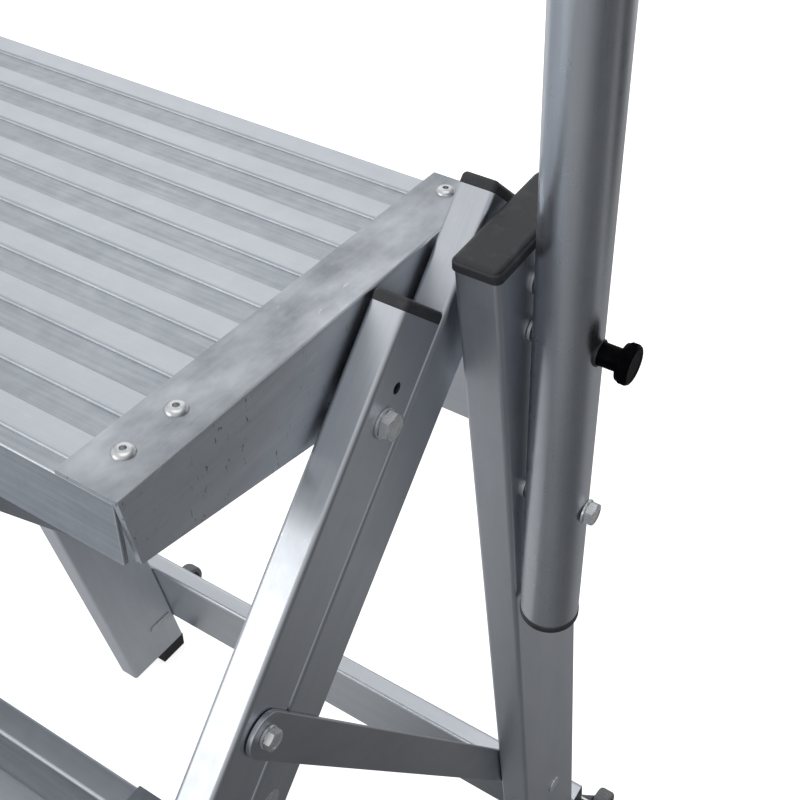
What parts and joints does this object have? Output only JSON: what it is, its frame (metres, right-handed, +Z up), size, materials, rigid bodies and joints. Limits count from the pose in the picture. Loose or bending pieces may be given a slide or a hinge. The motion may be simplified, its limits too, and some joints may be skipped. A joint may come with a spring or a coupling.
{
  "type": "folding step stool",
  "caption": "Folding step stool with treads and a standing deck on linked front legs, braced rear legs, a swing-back handrail hoop with locking plungers, and transport wheels.",
  "frame": {"origin": "centre of the bounding box on the floor, under the feet", "axes": "+X to the stool's right side seen from its front steps looking to the rear, +Y to the rear, +Z up"},
  "size_m": [0.6596, 1.11, 1.4001],
  "materials": {
    "leg_aluminium": "drawn aluminium tube, satin, fine lengthwise drawing lines and light scratches",
    "bar_aluminium": "drawn aluminium tube, satin, fine lengthwise drawing lines",
    "plank_aluminium": "extruded aluminium with raised grip bands, worn",
    "plate_aluminium": "pressed aluminium sheet, matt, scratched",
    "rail_aluminium": "drawn round aluminium tube, satin",
    "rivet_aluminium": "bright domed rivet",
    "bracket_steel": "zinc-plated steel sheet",
    "brace_steel": "dark zinc-plated flat steel",
    "fastener_steel": "bright zinc-plated steel",
    "bush_plastic": "moulded black plastic",
    "cap_plastic": "moulded dark grey plastic, fine grain",
    "foot_rubber": "moulded black rubber",
    "plunger_black": "black knurled head, slight gloss",
    "wheel_rubber": "grey rubber tread, dark disc sides"
  },
  "bodies": {
    "rear_frame": {"rear_leg_right": "leg_aluminium", "rear_leg_left": "leg_aluminium", "rear_leg_caps": "cap_plastic", "rear_feet": "foot_rubber", "foot_plates": "bracket_steel", "upper_cross_tube": "leg_aluminium", "lower_cross_tube": "leg_aluminium", "cross_tube_plugs": "cap_plastic", "cross_tube_rivets": "rivet_aluminium", "wheel_brackets": "bracket_steel", "wheel_bracket_rivets": "rivet_aluminium", "wheel_axles": "fastener_steel", "deck_pivot_pins": "fastener_steel", "pivot_collars": "fastener_steel", "rail_bolts": "fastener_steel", "rail_washers": "fastener_steel", "rail_bolt_nuts": "fastener_steel", "rail_pivot_spacers": "fastener_steel", "brace_rivets": "fastener_steel"},
    "deck": {"deck_plank": "plank_aluminium", "deck_end_plate_right": "plate_aluminium", "deck_end_plate_left": "plate_aluminium", "deck_rivets": "rivet_aluminium"},
    "front_legs": {"front_leg_right": "bar_aluminium", "front_leg_left": "bar_aluminium", "front_leg_caps": "cap_plastic", "front_feet": "foot_rubber", "front_bolts": "fastener_steel", "front_washers": "fastener_steel", "front_nuts": "fastener_steel"},
    "link_bars": {"link_bar_right": "bar_aluminium", "link_bar_left": "bar_aluminium", "link_bar_caps": "cap_plastic"},
    "tread_high": {"tread_plank_high": "plank_aluminium", "tread_brackets_high": "plate_aluminium", "tread_rivets_high": "rivet_aluminium", "link_screws_high": "fastener_steel", "link_nuts_high": "fastener_steel"},
    "tread_mid": {"tread_plank_mid": "plank_aluminium", "tread_brackets_mid": "plate_aluminium", "tread_rivets_mid": "rivet_aluminium", "link_screws_mid": "fastener_steel", "link_nuts_mid": "fastener_steel"},
    "tread_low": {"tread_plank_low": "plank_aluminium", "tread_brackets_low": "plate_aluminium", "tread_rivets_low": "rivet_aluminium", "link_screws_low": "fastener_steel", "link_nuts_low": "fastener_steel"},
    "braces": {"brace_right": "brace_steel", "brace_left": "brace_steel", "brace_bolts": "fastener_steel"},
    "handrail": {"handrail": "rail_aluminium", "handrail_end_caps": "cap_plastic", "rail_lock_spacers": "fastener_steel", "plunger_bushes": "bush_plastic"},
    "plunger_right": {"plunger_right": "plunger_black"},
    "plunger_left": {"plunger_left": "plunger_black"},
    "wheel_right": {"wheel_right": "wheel_rubber"},
    "wheel_left": {"wheel_left": "wheel_rubber"}
  },
  "joints": [
    {"name": "fold", "type": "hinge", "parent": "rear_frame", "child": "deck", "pos_m": [0, 0.26463, 0.8676], "axis": [-1, 0, 0], "range_deg": [0, 72]},
    {"name": "front_legs_swing", "type": "hinge", "parent": "deck", "child": "front_legs", "pos_m": [0, 0.17603, 0.82685], "axis": [1, 0, 0], "range_deg": [0, 120.4]},
    {"name": "link_bars_swing", "type": "hinge", "parent": "deck", "child": "link_bars", "pos_m": [0, 0.26463, 0.8676], "axis": [1, 0, 0], "range_deg": [0, 120.4]},
    {"name": "tread_high_turn", "type": "hinge", "parent": "front_legs", "child": "tread_high", "pos_m": [0, -0.0132, 0.60685], "axis": [-1, 0, 0], "range_deg": [0, 120.4]},
    {"name": "tread_mid_turn", "type": "hinge", "parent": "front_legs", "child": "tread_mid", "pos_m": [0, -0.20243, 0.38685], "axis": [-1, 0, 0], "range_deg": [0, 120.4]},
    {"name": "tread_low_turn", "type": "hinge", "parent": "front_legs", "child": "tread_low", "pos_m": [0, -0.39166, 0.16685], "axis": [-1, 0, 0], "range_deg": [0, 120.4]},
    {"name": "braces_swing", "type": "hinge", "parent": "rear_frame", "child": "braces", "pos_m": [0, 0.39777, 0.27], "axis": [-1, 0, 0], "range_deg": [0, 17.7]},
    {"name": "handrail_swing", "type": "hinge", "parent": "rear_frame", "child": "handrail", "pos_m": [0, 0.27703, 0.722], "axis": [-1, 0, 0], "range_deg": [0, 160]},
    {"name": "plunger_right_slide", "type": "slide", "parent": "handrail", "child": "plunger_right", "axis": [1, 0, 0], "range_m": [-0.008, 0]},
    {"name": "plunger_left_slide", "type": "slide", "parent": "handrail", "child": "plunger_left", "axis": [-1, 0, 0], "range_m": [-0.008, 0]},
    {"name": "wheel_right_spin", "type": "hinge", "parent": "rear_frame", "child": "wheel_right", "pos_m": [0.28, 0.53498, 0.052], "axis": [1, 0, 0], "continuous": true},
    {"name": "wheel_left_spin", "type": "hinge", "parent": "rear_frame", "child": "wheel_left", "pos_m": [-0.28, 0.53498, 0.052], "axis": [1, 0, 0], "continuous": true}
  ],
  "couplings": [
    {"joint": "front_legs_swing", "follows": "fold", "ratio": 1.6658},
    {"joint": "link_bars_swing", "follows": "fold", "ratio": 1.6658},
    {"joint": "tread_high_turn", "follows": "fold", "ratio": 1.6658},
    {"joint": "tread_mid_turn", "follows": "fold", "ratio": 1.6658},
    {"joint": "tread_low_turn", "follows": "fold", "ratio": 1.6658},
    {"joint": "braces_swing", "follows": "fold", "ratio": 0.2384}
  ]
}
